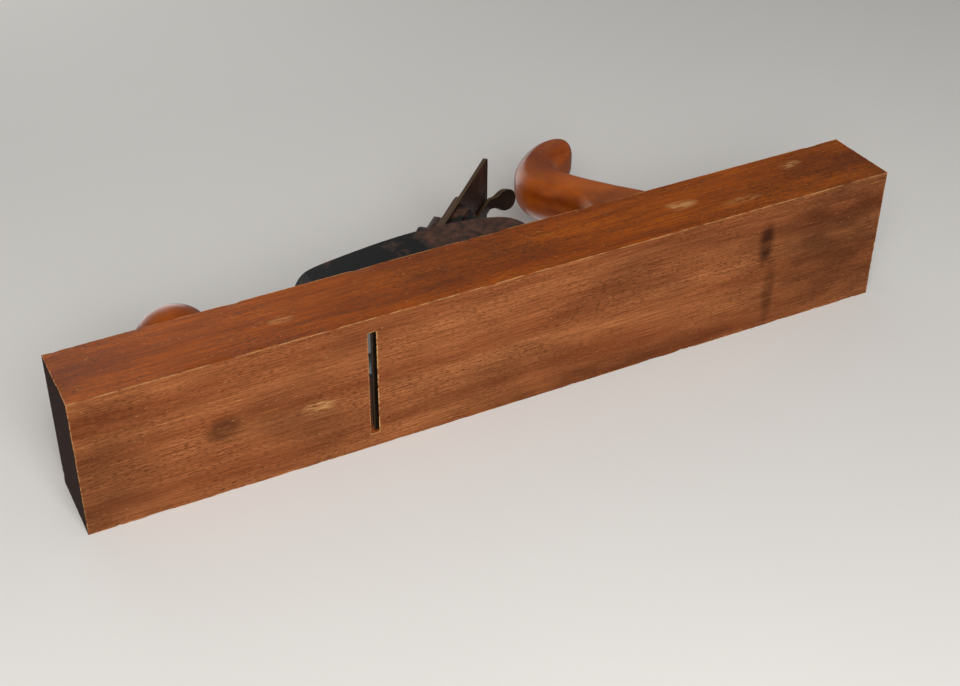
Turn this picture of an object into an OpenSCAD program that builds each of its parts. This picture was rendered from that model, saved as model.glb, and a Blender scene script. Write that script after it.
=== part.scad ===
// A wood-bottomed fore plane: a beech stock that carries a cast-iron frame, a frog
// with its adjusters, the cutter with its cap iron and lever cap, a knob and a tote.
// X runs towards the toe, Y to the left side and Z up. The origin lies in the
// middle of the sole. Sizes are in millimetres.
// Places on the slope of the bed are given as s, up the bed from the sole, and h,
// square off the bed.

/* [Stock] */
// Length of the stock from toe to heel
stock_l = 457; // [420:1:520]
// Width of the stock
stock_w = 78; // [74:0.5:90]
// Height of the stock
stock_h = 43; // [39:0.5:48]
// Worn chamfer on the edges of the stock
arris = 0.7; // [0.3:0.1:1.5]

/* [Mouth and throat] */
// Distance from the toe to the front edge of the mouth
mouth_from_toe = 148.3; // [140:0.1:160]
// Opening of the mouth from front to back
mouth_gap = 4.5; // [4:0.1:6]
// Width of the mouth and of the throat above it
mouth_w = 62; // [61.5:0.5:64]
// Height of the upright wear face in front of the mouth
wear_h = 7; // [4:0.5:12]
// Distance that the throat's front wall leans towards the toe
throat_lean = 14; // [10:0.5:15]
// Slope of the bed
bed_angle = 45; // [44:0.5:46]

/* [Cutter and cap iron] */
// Width of the cutter
iron_w = 60.3; // [57:0.1:61]
// Length of the cutter
iron_l = 185; // [175:1:195]
// Thickness of the cutter
iron_t = 2.2; // [1.8:0.1:2.6]
// Honing bevel of the cutter
bevel_angle = 27; // [22:1:35]
// Height of the cutting edge above the sole at rest
edge_up = 0.85; // [0.4:0.05:1.2]
// Width of the slot in the cutter
slot_w = 12.5; // [12:0.1:13]
// Thickness of the cap iron
cap_t = 2; // [1.8:0.1:2.4]
// Distance from the cutting edge back to the cap iron's lip
cap_back = 1.5; // [1:0.1:3]
// Rise of the cap iron's bend above the cutter
cap_rise = 1.8; // [1:0.1:2.2]

/* [Frame casting] */
// Width over the side walls of the frame
frame_w = 71; // [70:0.5:73]
// Thickness of the side walls
wall_t = 3; // [2.4:0.1:3.4]
// Thickness of the plate that lies on the stock
plate_t = 3.5; // [3:0.1:4.5]
// Height of the side walls above the stock at their crest
wall_h = 24.8; // [22:0.1:28]
// Height of the side walls above the stock over the mouth
wall_mouth_h = 18.8; // [16:0.1:20]
// Distance from the mouth to the frame's rounded nose
nose_ahead = 31.5; // [30:0.5:36]
// Width of the tail under the tote
tail_w = 30; // [28:0.5:34]

/* [Frog] */
// Width of the frog's face
frog_w = 56; // [52:0.5:58]
// Thickness of the frog's face
face_t = 6; // [5.5:0.1:6.5]
// Top of the frog's face, measured up the bed
frog_top = 136.5; // [135.5:0.5:140]
// Thickness of the frog's foot
foot_t = 5; // [4:0.1:5.2]
// Height of the adjuster's stud above the frame plate
stud_up = 16; // [15:0.1:17]
// Distance up the bed to the lever cap's screw
cap_screw_s = 76; // [74:0.5:79]

/* [Depth adjuster] */
// Radius of the adjusting nut's wheel
wheel_r = 13.5; // [12:0.1:14]
// Thickness of the wheel
wheel_t = 7; // [5:0.5:9]
// Radius of the threaded stud
stud_r = 3.2; // [2.8:0.1:3.4]
// Pitch of the stud's thread
thread_pitch = 0.95; // [0.8:0.05:1.2]
// Thickness of the yoke's prongs
prong_t = 2.4; // [2:0.1:2.6]

/* [Lateral lever] */
// Distance up the bed to the lateral lever's pivot
lateral_s = 131; // [130.5:0.5:132]
// Distance from the pivot down to the roller
roller_arm = 10; // [9.5:0.1:10.5]
// Thickness of the lever
lever_t = 2; // [1.6:0.1:2.1]
// Distance up the bed to the bend of the lever
bend_s = 181; // [176:1:184]
// Length of the thumb piece behind the bend
thumb_l = 14.5; // [10:0.5:16]
// Widest part of the thumb piece
thumb_w = 14; // [10:0.5:18]

/* [Lever cap] */
// Width of the lever cap at its lip
lever_cap_w = 57; // [50:0.5:59]
// Width of the lever cap across its shoulders
shoulder_w = 44; // [40:0.5:48]
// Distance up the bed to the cam's pin
cam_s = 111; // [110:0.5:113]
// Height of the cam's pin above the bed
cam_h = 11.5; // [11:0.1:12.5]
// Width of the cam lever's thumb dome
dome_w = 25; // [20:0.5:28]
// Length of the cam lever from its pin to its tip
dome_l = 38; // [32:0.5:42]

/* [Knob] */
// Distance from the toe to the knob's axis
knob_from_toe = 73; // [55:0.5:80]
// Radius of the knob at its fullest
knob_r = 21.3; // [18:0.1:24]
// Height of the knob
knob_h = 49.5; // [44:0.5:60]
// Radius of the knob's waist
waist_r = 12.5; // [11:0.1:14]

/* [Tote] */
// Distance from the toe to the front of the tote's foot
tote_from_toe = 280; // [276:0.5:290]
// Length of the tote over its foot
tote_l = 122; // [118:0.5:128]
// Height of the tote above the frame
tote_h = 117.5; // [112:0.5:122]
// Thickness of the tote
tote_t = 26.5; // [24:0.5:30]

/* [Screws] */
// Radius of the bolts in the knob and tote
bolt_r = 3; // [2.6:0.1:3.3]
// Radius of the machine screws in the frog
screw_r = 2.8; // [2.4:0.1:3]
// Radius of the heads of the wood screws
wood_head_r = 4.6; // [4:0.1:5]
// Length of the wood screws
wood_screw_l = 22; // [16:1:26]
// Running clearance between a pin and its hole
fit = 0.05; // [0.03:0.01:0.08]
// Clearance between pieces that pass each other
gap = 0.3; // [0.2:0.05:0.4]

/* [Hidden] */
$fn = 64;

// Colours as the finishes look
beech_colour = "#9c5f35";
varnish_colour = "#a2571f";
japan_colour = "#1b1a1c";
rust_colour = "#4a3128";
steel_colour = "#54443a";
brass_colour = "#a8823f";

// Reach of cutting tools past a face
over = 1;

// Places along the length of the plane
toe_x = stock_l / 2;
mouth_x = toe_x - mouth_from_toe;
bed_x = mouth_x - mouth_gap;
knob_x = toe_x - knob_from_toe;
tote_x = toe_x - tote_from_toe;
tote_end_x = tote_x - tote_l;
seat_z = stock_h + plate_t;

// Place on the slope of the bed as X and Z
function bed_pt(s, h) = [
    bed_x - s * cos(bed_angle) + h * sin(bed_angle),
    s * sin(bed_angle) + h * cos(bed_angle)];
// Distance up the bed and height off it of a place given as X and Z
function bed_s(x, z) = (bed_x - x) * cos(bed_angle) + z * sin(bed_angle);
function bed_h(x, z) = (x - bed_x) * sin(bed_angle) + z * cos(bed_angle);

// Heights of the layers off the bed
iron_h = fit;
cap_h = iron_h + iron_t;
cap_top_h = cap_h + cap_t;

// The cutting edge is the corner between the cutter's upper face and its bevel
edge_s = (edge_up - cap_h * cos(bed_angle)) / sin(bed_angle);
iron_top_s = edge_s + iron_l;
lip_s = edge_s + cap_back;

// The cutter's slot and its round entry hole
slot_low_s = 34;
entry_s = 150;
entry_r = 11;
corner_clip = 1.5;

// The cap iron's outline, bend and holes
bend_l = 24;
cap_top_s = 147;
cap_w = iron_w - 1;
cap_iron_screw_s = 42;
cap_iron_head_r = 8.5;
cap_iron_head_t = 3.2;
cap_iron_shank_r = 4;

// Lever cap: its ends on the bed, seat of its screw and the lever cap screw
lever_cap_top_s = 118;
lever_cap_low_s = 12;
seat_low_h = 8;
seat_top_h = 10.4;
cap_screw_r = 3.2;
cap_head_r = 5.8;
cap_head_t = 3;
key_drop = 12;

// Cam lever: its pin, its eccentric, and the spring that it bears on
cam_pin_r = 2;
cam_pin_l = shoulder_w - 6;
spring_s = 88;
spring_rivet_r = 1.8;
spring_t = 0.9;
spring_w = 12;
cam_r = 5.1;
cam_throw = cam_h - cap_top_h - spring_t - 2 * gap - cam_r;

// Yoke: pivot, finger and prongs
stud_z = seat_z + stud_up;
yoke_x = bed_pt(117.2, -9.76)[0];
yoke_z = bed_pt(117.2, -9.76)[1];
yoke_s = bed_s(yoke_x, yoke_z);
yoke_h = bed_h(yoke_x, yoke_z);
finger_s = 110;
finger_h = 2.4;
finger_r = 1.6;
yoke_w = 5.6;
yoke_hub_r = 4;
yoke_pin_r = 2;
lug_r = 4.6;
lug_t = 3.2;

// Adjusting nut: flange, groove and wheel along the stud, heelwards
groove_r = 5;
flange_r = 7.6;
flange_t = 1.8;
groove_w = 5.5;
flange_x = yoke_x - 3.6;
groove_x = flange_x - flange_t + 0.05;
wheel_x = groove_x - groove_w;
wheel_end_x = wheel_x - wheel_t;
prong_x = groove_x - gap;
stud_end_x = wheel_end_x - 7;
boss_x = flange_x + 2.4;
boss_r = 6.5;
stud_deep = 13;
knurls = 60;
knurl_depth = 0.45;

// Frog: foot and webs
foot_back_x = wheel_x + 2.2;
foot_w = 52;
web_t = 4;
frog_corner_r = 7;
frog_screw_x = bed_x - 74;
frog_screw_y = 14;
frog_head_r = 4.8;
frog_head_t = 3.4;
washer_t = 1.2;
washer_r = 6;
boss_deep = 9;

// Lateral lever: recess in the frog, strip and thumb piece
recess_deep = lever_t + gap + 0.1;
recess_half = 8;
lever_low_h = -recess_deep + 0.1;
lever_top_h = lever_low_h + lever_t;
roller_s = lateral_s - roller_arm;
roller_r = 4.5;
strip_half = 5;
neck_half = 3.4;
lateral_pin_r = 2.5;
rivet_r = 2;
bend_r = 3;

// Frame: profile of the walls and plan of the plate
frame_half = frame_w / 2;
nose_x = mouth_x + nose_ahead;
crest_x = mouth_x - 60;
wall_back_x = mouth_x - 121;
tail_x = tote_end_x - 9;
front_screw_x = nose_x - 10;
front_screw_y = 12;
back_screw_x = wheel_end_x - 6;
back_screw_y = 24;
tail_screw_x = tail_x + 6;

// Knob and tote fittings
nut_r = 6.5;
nut_t = 6;
knob_bolt_deep = 26;
rod_lean = 20.8;
rod_from_toe = 353.2;
rod_x = toe_x - rod_from_toe;
rod_deep = 8;
rod_seat = 101;
toe_screw_x = tote_x - 9;
toe_screw_up = 5.5;

// Point at share t of a cubic curve with the four control points k
function cubic(k, t) = pow(1 - t, 3) * k[0] + 3 * t * pow(1 - t, 2) * k[1]
    + 3 * t * t * (1 - t) * k[2] + t * t * t * k[3];
// The curve as n points, without its end, so that curves chain
function curve(k, n) = [for (i = [0:n - 1]) cubic(k, i / n)];
function chain(ks, n) = [for (k = ks) each curve(k, n)];

// Draws its children in the frame of the bed: X is s, Z is h
module on_bed() {
    translate([bed_x, 0, 0]) rotate([0, bed_angle, 0]) rotate([0, 0, 180]) children();
}

// Extrudes a side view in X and Z across the plane, w wide
module across(w) {
    rotate([90, 0, 0]) linear_extrude(w, center = true) children();
}

// Extrudes a side view in s and h across the plane, w wide
module bed_across(w) {
    on_bed() rotate([90, 0, 0]) linear_extrude(w, center = true) children();
}

// Extrudes an outline in s and y square off the bed, from h up by t
module bed_plate(h, t) {
    on_bed() translate([0, 0, h]) linear_extrude(t) children();
}

// A cylinder square off the bed at s, from h up by t
module bed_pin(s, h, r, t) {
    on_bed() translate([s, 0, h]) cylinder(h = t, r = r);
}

// A cylinder across the plane at X and Z
module cross_pin(x, z, r, w) {
    translate([x, 0, z]) rotate([90, 0, 0]) cylinder(h = w, r = r, center = true);
}

// A slot with round ends along s, from centre a to centre b, r being half its width
module round_slot(a, b, r) {
    translate([a, -r]) square([b - a, 2 * r]);
    translate([a, 0]) circle(r);
    translate([b, 0]) circle(r);
}

// Everything above the bed, to trim a casting flush with it
module above_bed() {
    on_bed() translate([-50, -stock_w, 0]) cube([400, 2 * stock_w, 100]);
}

// Everything below the top of the frame plate
module below_seat() {
    translate([-stock_l / 2, -stock_w / 2, 0]) cube([stock_l, stock_w, seat_z]);
}

// Side view of the throat up to the height top
module throat_side(top) {
    lean = throat_lean / (stock_h - wear_h);
    polygon([
        [bed_x, -over], [bed_x, 0],
        bed_pt(top / sin(bed_angle), 0),
        [mouth_x + lean * (top - wear_h), top],
        [mouth_x, wear_h], [mouth_x, -over]]);
}

// A rectangle a by b about the origin with chamfered corners
module chamfered(a, b, c) {
    polygon([
        [-a / 2 + c, -b / 2], [a / 2 - c, -b / 2], [a / 2, -b / 2 + c], [a / 2, b / 2 - c],
        [a / 2 - c, b / 2], [-a / 2 + c, b / 2], [-a / 2, b / 2 - c], [-a / 2, -b / 2 + c]]);
}

module stock_block() {
    intersection() {
        translate([0, 0, stock_h / 2]) rotate([90, 0, 90])
            linear_extrude(stock_l, center = true) chamfered(stock_w, stock_h, arris);
        translate([0, 0, stock_h / 2]) across(stock_w) chamfered(stock_l, stock_h, arris);
        linear_extrude(stock_h) chamfered(stock_l, stock_w, arris);
    }
}

// The beech stock with its mouth, throat, bed and the pockets under the frame
module stock() {
    channel_low = cap_iron_screw_s - cap_iron_head_r - 5;
    color(beech_colour) difference() {
        stock_block();
        across(mouth_w) throat_side(stock_h + over);
        bed_plate(-cap_iron_head_t - 1.2, cap_iron_head_t + 2)
            round_slot(channel_low + 10, 80, cap_iron_head_r + 1.5);
        for (y = [-1, 1]) translate([frog_screw_x, y * frog_screw_y, stock_h - boss_deep - 1])
            cylinder(h = boss_deep + 2, r = boss_r + 0.5);
        translate([knob_x, 0, stock_h - knob_bolt_deep])
            cylinder(h = knob_bolt_deep + over, r = bolt_r);
        rod_axis() translate([0, 0, -rod_deep - boss_deep])
            cylinder(h = boss_deep + rod_deep + 4, r = boss_r + 0.5);
        translate([toe_screw_x, 0, stock_h - 8]) cylinder(h = 8 + over, r = screw_r + 0.6);
        wood_screw_places() wood_screw_body(0);
    }
}

// Half of the frame's plan from its nose to its tail, drawn in by inset
function frame_half_plan(inset) = let (
    w = frame_half - inset, t = tail_w / 2 - inset, n = nose_x - inset,
    side_front = mouth_x + 4, side_back = mouth_x - 104, neck = tote_x - 14,
    end = tail_x + inset) chain([
        [[n, 0], [n, w * 0.62], [n - 9, w], [side_front, w]],
        [[side_back, w], [side_back - 22, w], [neck + 22, t], [neck, t]],
        [[end + tail_w / 2, t], [end + tail_w / 5, t], [end, tail_w / 5], [end, 0]]], 12);

module frame_plan(inset) {
    half = frame_half_plan(inset);
    polygon(concat(half, [for (i = [len(half) - 1:-1:1]) [half[i][0], -half[i][1]]]));
}

// Side view of the walls: a hump that rises over the mouth and falls behind the frog
module wall_side() {
    start = mouth_x + 19.4;
    polygon(concat(
        [[nose_x + over, stock_h], [nose_x + over, seat_z + 1.4], [start, seat_z + 1.4]],
        chain([
            [[start, seat_z + 1.4], [start - 5, stock_h + wall_mouth_h * 0.72],
                [mouth_x + 8, stock_h + wall_mouth_h - 2], [mouth_x - 4, stock_h + wall_mouth_h]],
            [[mouth_x - 4, stock_h + wall_mouth_h], [mouth_x - 24, stock_h + wall_h - 2.6],
                [crest_x + 20, stock_h + wall_h], [crest_x, stock_h + wall_h]],
            [[crest_x, stock_h + wall_h], [crest_x - 22, stock_h + wall_h],
                [wall_back_x + 20, stock_h + wall_h * 0.84], [wall_back_x + 11, stock_h + wall_h * 0.58]],
            [[wall_back_x + 11, stock_h + wall_h * 0.58], [wall_back_x + 6, stock_h + wall_h * 0.42],
                [wall_back_x + 6, seat_z + 2], [wall_back_x, seat_z]]], 10),
        [[wall_back_x, seat_z], [wall_back_x, stock_h]]));
}

// The cast frame: plate, hump-sided walls, tail, and bosses let into the stock
module frame() {
    color(japan_colour) difference() {
        union() {
            translate([0, 0, stock_h]) linear_extrude(plate_t) frame_plan(0);
            intersection() {
                across(stock_w) wall_side();
                translate([0, 0, stock_h]) linear_extrude(wall_h + over) difference() {
                    frame_plan(0);
                    frame_plan(wall_t);
                }
            }
            for (y = [-1, 1]) translate([frog_screw_x, y * frog_screw_y, stock_h - boss_deep])
                cylinder(h = boss_deep + 1, r = boss_r);
            intersection() {
                rod_axis() translate([0, 0, -boss_deep - 4]) cylinder(h = boss_deep + 12, r = boss_r);
                below_seat();
            }
        }
        across(mouth_w) throat_side(seat_z + over);
        for (y = [-1, 1]) translate([frog_screw_x, y * frog_screw_y, stock_h - boss_deep - over])
            cylinder(h = boss_deep + plate_t + 2 * over, r = screw_r);
        rod_axis() translate([0, 0, -40]) cylinder(h = 80, r = bolt_r);
        translate([toe_screw_x, 0, stock_h - over]) cylinder(h = plate_t + 2 * over, r = screw_r);
        wood_screw_places() wood_screw_body(0);
    }
}

// Draws its children along the tote's rod, Z up the rod, from the frame plate
module rod_axis() {
    translate([rod_x, 0, seat_z]) rotate([0, rod_lean, 0]) children();
}

// The five wood screws that hold the frame down, heads flush with the plate
module wood_screw_places() {
    for (y = [-1, 1]) translate([front_screw_x, y * front_screw_y, seat_z]) children();
    for (y = [-1, 1]) translate([back_screw_x, y * back_screw_y, seat_z]) children();
    translate([tail_screw_x, 0, seat_z]) children();
}

// A countersunk wood screw under the plane Z = 0, with its slot when slot is over 0
module wood_screw_body(slot) {
    shank_r = wood_head_r * 0.5;
    difference() {
        rotate_extrude() polygon([
            [0, 0], [wood_head_r, 0], [wood_head_r, -0.5], [shank_r, -wood_head_r + shank_r - 0.5],
            [shank_r, -wood_screw_l + 4], [0, -wood_screw_l]]);
        if (slot > 0) translate([0, 0, -slot / 2])
            cube([2 * wood_head_r + over, 1, slot + 0.01], center = true);
    }
}

module frame_screws() {
    color(steel_colour) wood_screw_places() wood_screw_body(1.2);
}

// Side view of the frog's webs, with their hollow back edge
module web_side() {
    foot_top = seat_z + foot_t;
    polygon(concat(
        [bed_pt(seat_z / sin(bed_angle), 0), [foot_back_x, seat_z]],
        chain([[[foot_back_x, foot_top + 1], [foot_back_x + 14, foot_top + 6],
            bed_pt(frog_top - 16, -face_t - 14), bed_pt(frog_top - 5, -face_t + 0.5)]], 12),
        [bed_pt(frog_top - 5, -face_t + 0.5), bed_pt(frog_top - 6, 0)]));
}

// Plan of the frog's face in s and y, its upper corners rounded
module face_plan() {
    low = seat_z / sin(bed_angle) - 10;
    translate([low, -frog_w / 2]) square([frog_top - frog_corner_r - low, frog_w]);
    translate([low, -frog_w / 2 + frog_corner_r]) square([frog_top - low, frog_w - 2 * frog_corner_r]);
    for (y = [-1, 1]) translate([frog_top - frog_corner_r, y * (frog_w / 2 - frog_corner_r)])
        circle(frog_corner_r);
}

// The opening in the frog's face that the yoke's finger swings in
module yoke_window() {
    bed_across(yoke_w + 2 * gap) polygon([
        [finger_s - 5, over], [roller_s - 6.6, over], [roller_s - 6.6, -1],
        [yoke_s + 4.6, yoke_h + 2.8], [yoke_s + 4.6, yoke_h - 6],
        [yoke_s - 9, yoke_h - 6], [yoke_s - 9, yoke_h + 1.8]]);
}

// The cast frog: sloping face, webs, foot, and the bosses for stud, pin and screw
module frog() {
    color(japan_colour) difference() {
        union() {
            bed_plate(-face_t, face_t) face_plan();
            for (y = [-1, 1]) translate([0, y * (foot_w / 2 - web_t / 2), 0]) across(web_t) web_side();
            translate([foot_back_x, -foot_w / 2, seat_z])
                cube([bed_x - seat_z - foot_back_x, foot_w, foot_t]);
            translate([boss_x, 0, stud_z]) rotate([0, 90, 0]) cylinder(h = 20, r = boss_r);
            translate([boss_x, -3, seat_z + 1]) cube([26, 6, stud_up - 1]);
            bed_pin(cap_screw_s, -face_t - 4, boss_r, 5);
            for (y = [-1, 1]) translate([0, y * (yoke_w / 2 + gap + lug_t / 2), 0]) {
                cross_pin(yoke_x, yoke_z, lug_r, lug_t);
                bed_across(lug_t) polygon([
                    [yoke_s - lug_r, yoke_h], [yoke_s + lug_r, yoke_h],
                    [yoke_s + lug_r + 2, -face_t + over], [yoke_s - lug_r - 2, -face_t + over]]);
            }
        }
        above_bed();
        below_seat();
        yoke_window();
        bed_plate(-recess_deep, recess_deep + over)
            translate([roller_s - 6.6, -recess_half]) square([60, 2 * recess_half]);
        bed_pin(cap_screw_s, -face_t - 10, cap_screw_r, face_t + 12);
        bed_pin(lateral_s, -face_t - 2, lateral_pin_r, face_t + 3);
        cross_pin(yoke_x, yoke_z, yoke_pin_r, 40);
        translate([boss_x - over, 0, stud_z]) rotate([0, 90, 0])
            cylinder(h = stud_deep + 2 * over, r = stud_r);
        for (y = [-1, 1]) translate([frog_screw_x, y * frog_screw_y, 0]) {
            translate([0, 0, seat_z - over]) cylinder(h = foot_t + 2 * over, r = screw_r + 0.2);
            translate([0, 0, seat_z + foot_t + 5.5]) cylinder(h = 40, r = frog_head_r + 1);
        }
    }
}

module frog_screws() {
    head_z = seat_z + foot_t + washer_t;
    color(steel_colour) for (y = [-1, 1]) translate([frog_screw_x, y * frog_screw_y, 0]) difference() {
        union() {
            translate([0, 0, stock_h - boss_deep]) cylinder(h = head_z - stock_h + boss_deep, r = screw_r);
            translate([0, 0, head_z]) cylinder(h = frog_head_t, r = frog_head_r);
        }
        translate([0, 0, head_z + frog_head_t]) cube([20, 1.2, 2.4], center = true);
    }
}

module frog_washers() {
    color(steel_colour) for (y = [-1, 1])
        translate([frog_screw_x, y * frog_screw_y, seat_z + foot_t]) difference() {
            cylinder(h = washer_t, r = washer_r);
            translate([0, 0, -over]) cylinder(h = washer_t + 2 * over, r = screw_r + 0.2);
        }
}

// Half profile of a thread as rings, r at the crests, from z = 0 up to z = l
function thread_profile(r, l, pitch) = let (n = floor(l / pitch), deep = pitch * 0.45)
    [for (i = [0:n - 1]) each [[r - deep, i * pitch], [r, (i + 0.5) * pitch]]];

// The stud that the adjusting nut turns on, with its thread behind the frog
module adjuster_stud() {
    plain = boss_x + stud_deep - flange_x - 1;
    thread_l = flange_x + 1 - stud_end_x;
    color(steel_colour) translate([stud_end_x, 0, stud_z]) rotate([0, 90, 0]) rotate_extrude()
        polygon(concat([[0, 0]], thread_profile(stud_r, thread_l, thread_pitch),
            [[stud_r - 0.3, thread_l], [stud_r, thread_l + 0.4],
            [stud_r, thread_l + plain], [0, thread_l + plain]]));
}

// The brass adjusting nut: flange, groove for the yoke, and milled wheel
module adjusting_nut() {
    hub = flange_x - wheel_x;
    color(brass_colour) translate([wheel_end_x, 0, stud_z]) rotate([0, 90, 0]) difference() {
        union() {
            intersection() {
                linear_extrude(wheel_t) polygon([
                    for (i = [0:2 * knurls - 1])
                        let (r = wheel_r - (i % 2) * knurl_depth, a = i * 180 / knurls)
                            [r * cos(a), r * sin(a)]]);
                rotate_extrude() polygon([[0, 0], [wheel_r - 1, 0], [wheel_r + 0.01, 0.9],
                    [wheel_r + 0.01, wheel_t - 0.9], [wheel_r - 1, wheel_t], [0, wheel_t]]);
            }
            rotate_extrude() polygon([[0, 1], [groove_r, 1], [groove_r, wheel_t + groove_w],
                [flange_r, wheel_t + groove_w], [flange_r, wheel_t + hub], [0, wheel_t + hub]]);
        }
        translate([0, 0, -over]) cylinder(h = wheel_t + hub + 2 * over, r = stud_r + fit);
        translate([0, 0, -over]) difference() {
            cylinder(h = 1.2 + over, r = wheel_r - 3);
            cylinder(h = 1.2 + over, r = groove_r + 1);
        }
    }
}

// The yoke: finger through the frog's face, hub on its pin, prongs in the nut's groove
module yoke() {
    bar_low = stud_z + groove_r + 0.7;
    bar_top = bar_low + 2.8;
    prong_in = groove_r + 0.4;
    prong_out = prong_in + 3.2;
    prong_low = stud_z - 3;
    color(rust_colour) difference() {
        union() {
            across(yoke_w) {
                translate([yoke_x, yoke_z]) circle(yoke_hub_r);
                translate(bed_pt(finger_s, finger_h)) circle(finger_r);
                polygon([
                    bed_pt(yoke_s - 3.2, yoke_h - 1), bed_pt(yoke_s + 3.2, yoke_h + 1.6),
                    bed_pt(finger_s + 1.3, finger_h + 0.3), bed_pt(finger_s - 1.3, finger_h + 0.3)]);
                polygon([
                    [yoke_x - 3.4, yoke_z + 1], [prong_x - prong_t + 0.6, bar_top + 1.2],
                    [prong_x - prong_t + 0.6, bar_low + 0.8], [prong_x - 0.6, bar_low + 0.8],
                    [prong_x - 0.3, bar_top + 0.2], [yoke_x + 1, yoke_z - 3.2]]);
            }
            translate([prong_x - prong_t, 0, 0]) rotate([90, 0, 90]) linear_extrude(prong_t)
                polygon([
                    [-prong_out, prong_low], [-prong_in, prong_low], [-prong_in, bar_low],
                    [prong_in, bar_low], [prong_in, prong_low], [prong_out, prong_low],
                    [prong_out, bar_top], [-prong_out, bar_top]]);
        }
        cross_pin(yoke_x, yoke_z, yoke_pin_r + fit, yoke_w + 2 * over);
    }
}

module yoke_pin() {
    color(steel_colour) cross_pin(yoke_x, yoke_z, yoke_pin_r, yoke_w + 2 * gap + 2 * lug_t);
}

// Plan of the lateral lever, seen square to the bed: its bent thumb piece looks shorter
module lever_plan() {
    half = thumb_w / 2;
    thumb_from = bend_s + (bend_r + lever_t / 2) * sin(bed_angle);
    thumb = chain([
        [[0, neck_half], [thumb_l * 0.3, neck_half], [thumb_l * 0.3, half], [thumb_l * 0.6, half]],
        [[thumb_l * 0.6, half], [thumb_l * 0.85, half], [thumb_l, half * 0.6], [thumb_l, 0]]], 8);
    edge = concat(
        [for (a = [180:-15:90]) [roller_s + strip_half * cos(a), strip_half * sin(a)]],
        [[lateral_s + 6, strip_half], [bend_s - 4, neck_half]],
        [for (at = thumb) [thumb_from + at[0] * cos(bed_angle), at[1]]]);
    polygon(concat(edge, [[thumb_from + thumb_l * cos(bed_angle), 0]],
        [for (i = [len(edge) - 1:-1:1]) [edge[i][0], -edge[i][1]]]));
}

// Place in s and h on the lateral lever's bend: turned by a, r out, and l on along it
function bend_at(a, r, l) = [bend_s + r * sin(a) + l * cos(a),
    lever_low_h - bend_r + r * cos(a) - l * sin(a)];

// Side view of the lateral lever in s and h: strip, bend and thumb piece
module lever_side() {
    outer = bend_r + lever_t;
    start = roller_s - strip_half - over;
    steps = 6;
    polygon(concat(
        [[start, lever_low_h], [start, lever_top_h]],
        [for (i = [0:steps]) bend_at(bed_angle * i / steps, outer, 0)],
        [bend_at(bed_angle, outer, thumb_l + lever_t), bend_at(bed_angle, bend_r, thumb_l + lever_t)],
        [for (i = [steps:-1:0]) bend_at(bed_angle * i / steps, bend_r, 0)]));
}

// The lateral lever: a strip behind the cutter, bent back into a spade-shaped thumb piece
module lateral_lever() {
    deep = thumb_l + bend_r;
    color(steel_colour) difference() {
        intersection() {
            bed_across(thumb_w + 2 * over) lever_side();
            bed_plate(lever_low_h - deep, deep + 2 * lever_t) lever_plan();
        }
        bed_pin(lateral_s, lever_low_h - over, lateral_pin_r + fit, lever_t + 2 * over);
        bed_pin(roller_s, lever_low_h - over, rivet_r, lever_t + 2 * over);
    }
}

// The pin that the lateral lever turns on, riveted into the frog
module lateral_pin() {
    color(steel_colour) {
        bed_pin(lateral_s, -face_t, lateral_pin_r, face_t + lever_top_h + 0.2);
        bed_pin(lateral_s, lever_top_h + 0.1, 4, 1.3);
    }
}

module lateral_roller() {
    color(steel_colour) difference() {
        bed_pin(roller_s, lever_top_h + 0.05, roller_r, 2);
        bed_pin(roller_s, lever_top_h - over, rivet_r + fit, 4);
    }
}

module roller_rivet() {
    color(steel_colour) bed_pin(roller_s, lever_low_h, rivet_r, lever_t + 2.1);
}

// The cutter: a bevelled plate with clipped corners and a keyhole slot
module cutter() {
    bevel_l = iron_t / tan(bevel_angle);
    half = iron_w / 2;
    color(steel_colour) difference() {
        intersection() {
            bed_across(iron_w) polygon([
                [edge_s, cap_h], [edge_s + bevel_l, iron_h], [iron_top_s, iron_h], [iron_top_s, cap_h]]);
            bed_plate(iron_h - over, iron_t + 2 * over) polygon([
                [edge_s - over, -half], [iron_top_s - corner_clip * 1.6, -half],
                [iron_top_s - corner_clip * 0.4, -half + corner_clip * 0.7],
                [iron_top_s, -half + corner_clip * 2.2], [iron_top_s, half - corner_clip * 2.2],
                [iron_top_s - corner_clip * 0.4, half - corner_clip * 0.7],
                [iron_top_s - corner_clip * 1.6, half], [edge_s - over, half]]);
        }
        bed_plate(iron_h - over, iron_t + 2 * over) {
            round_slot(slot_low_s, entry_s, slot_w / 2);
            translate([entry_s, 0]) circle(entry_r);
        }
    }
}

// Side view of the cap iron: flat on the cutter, with a bend down to its lip
module cap_side() {
    top_bend = [[lip_s + bend_l + 3, cap_top_h], [lip_s + bend_l - 4, cap_top_h],
        [lip_s + 13, cap_top_h + cap_rise], [lip_s + 9, cap_top_h + cap_rise]];
    lip_bend = [[lip_s + 9, cap_top_h + cap_rise], [lip_s + 5, cap_top_h + cap_rise],
        [lip_s + 1.5, cap_h + 1.6], [lip_s, cap_h]];
    under = [[lip_s + 1.6, cap_h], [lip_s + 6, cap_h + cap_rise],
        [lip_s + 12, cap_h + cap_rise], [lip_s + bend_l, cap_h]];
    polygon(concat(
        [[cap_top_s, cap_h], [cap_top_s, cap_top_h]],
        chain([top_bend, lip_bend], 8), [[lip_s, cap_h]], curve(under, 8), [[lip_s + bend_l, cap_h]]));
}

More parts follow.
